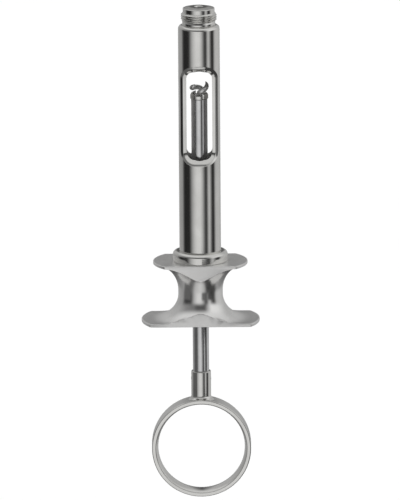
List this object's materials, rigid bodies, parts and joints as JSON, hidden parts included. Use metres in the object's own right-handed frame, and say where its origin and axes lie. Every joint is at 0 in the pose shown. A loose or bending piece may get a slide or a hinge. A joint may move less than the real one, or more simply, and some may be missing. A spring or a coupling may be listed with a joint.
{
  "type": "aspirating dental syringe",
  "caption": "Aspirating dental cartridge syringe with a windowed barrel, threaded needle nose, finger spool, sliding piston with a two-pointed wire harpoon, and a thumb ring.",
  "frame": {"origin": "on the syringe's axis, level with the lowest point of the thumb ring", "axes": "+Z along the syringe towards the needle nose, X along the finger plates and across the thumb ring, the two barrel windows face -Y and +Y"},
  "size_m": [0.0328, 0.0172, 0.1386],
  "materials": {
    "polished_chrome": "bright plated, fine drawn lines",
    "satin_chrome": "satin plated",
    "bright_steel": "ground stainless steel",
    "bush_bronze": "turned bearing bronze",
    "brake_rubber": "moulded black rubber"
  },
  "bodies": {
    "grip": {"finger_grip": "satin_chrome", "barrel_socket": "polished_chrome", "upper_guide_bush": "bush_bronze", "lower_guide_bush": "bush_bronze", "gland_nut": "polished_chrome"},
    "brake": {"brake_ring": "brake_rubber"},
    "piston": {"piston_rod": "polished_chrome", "rod_head": "polished_chrome", "harpoon": "bright_steel", "ring_socket": "polished_chrome", "socket_pin": "bright_steel", "ring_stem": "bright_steel", "thumb_ring": "polished_chrome"},
    "seat": {"barrel_seat_washer": "bright_steel"},
    "barrel": {"barrel_tube": "polished_chrome", "needle_nose": "polished_chrome"}
  },
  "joints": [
    {"name": "piston_turn", "type": "hinge", "parent": "grip", "child": "brake", "pos_m": [0, 0, 0.0581], "axis": [0, 0, 1], "continuous": true},
    {"name": "piston_slide", "type": "slide", "parent": "brake", "child": "piston", "axis": [0, 0, 1], "range_m": [-0.0483, 0.014]},
    {"name": "barrel_turn", "type": "hinge", "parent": "grip", "child": "seat", "pos_m": [0, 0, 0.065], "axis": [0, 0, 1], "range_deg": [0, 1440]},
    {"name": "barrel_lift", "type": "slide", "parent": "seat", "child": "barrel", "axis": [0, 0, 1], "range_m": [0, 0.003]}
  ],
  "couplings": [
    {"joint": "barrel_turn", "follows": "barrel_lift", "rad_per_m": 8377.5}
  ]
}
